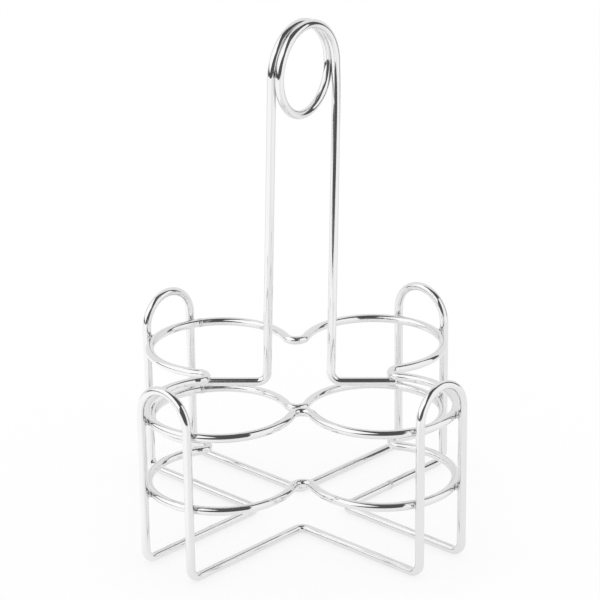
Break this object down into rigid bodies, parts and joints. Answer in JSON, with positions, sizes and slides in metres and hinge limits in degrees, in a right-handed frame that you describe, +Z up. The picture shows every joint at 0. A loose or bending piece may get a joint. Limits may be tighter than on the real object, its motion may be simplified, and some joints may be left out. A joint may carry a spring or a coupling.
{
  "type": "condiment caddy",
  "caption": "Bent-wire table caddy with clover racks for condiment bottles, corner arches on a star base and a tall handle ending in a card coil",
  "frame": {"origin": "on the table under the middle of the caddy", "axes": "+Z up from the table, -Y towards the front, +X to the right as seen from the front"},
  "size_m": [0.1544, 0.1544, 0.251],
  "materials": {
    "chrome_wire": "bright chrome plate over drawn steel wire",
    "chrome_weld": "plated weld bead, duller than the wire"
  },
  "bodies": {
    "root": {"leg_frame": "chrome_wire", "upper_rack": "chrome_wire", "lower_rack": "chrome_wire", "handle": "chrome_wire", "weld_upper_back_right_leg_a": "chrome_weld", "weld_upper_back_right_leg_b": "chrome_weld", "weld_upper_back_left_leg_a": "chrome_weld", "weld_upper_back_left_leg_b": "chrome_weld", "weld_upper_front_left_leg_a": "chrome_weld", "weld_upper_front_left_leg_b": "chrome_weld", "weld_upper_front_right_leg_a": "chrome_weld", "weld_upper_front_right_leg_b": "chrome_weld", "weld_lower_back_right_leg_a": "chrome_weld", "weld_lower_back_right_leg_b": "chrome_weld", "weld_lower_back_left_leg_a": "chrome_weld", "weld_lower_back_left_leg_b": "chrome_weld", "weld_lower_front_left_leg_a": "chrome_weld", "weld_lower_front_left_leg_b": "chrome_weld", "weld_lower_front_right_leg_a": "chrome_weld", "weld_lower_front_right_leg_b": "chrome_weld", "weld_handle_left": "chrome_weld", "weld_handle_right": "chrome_weld", "butt_weld_leg_frame": "chrome_weld", "butt_weld_upper_rack": "chrome_weld", "butt_weld_lower_rack": "chrome_weld"}
  },
  "joints": []
}
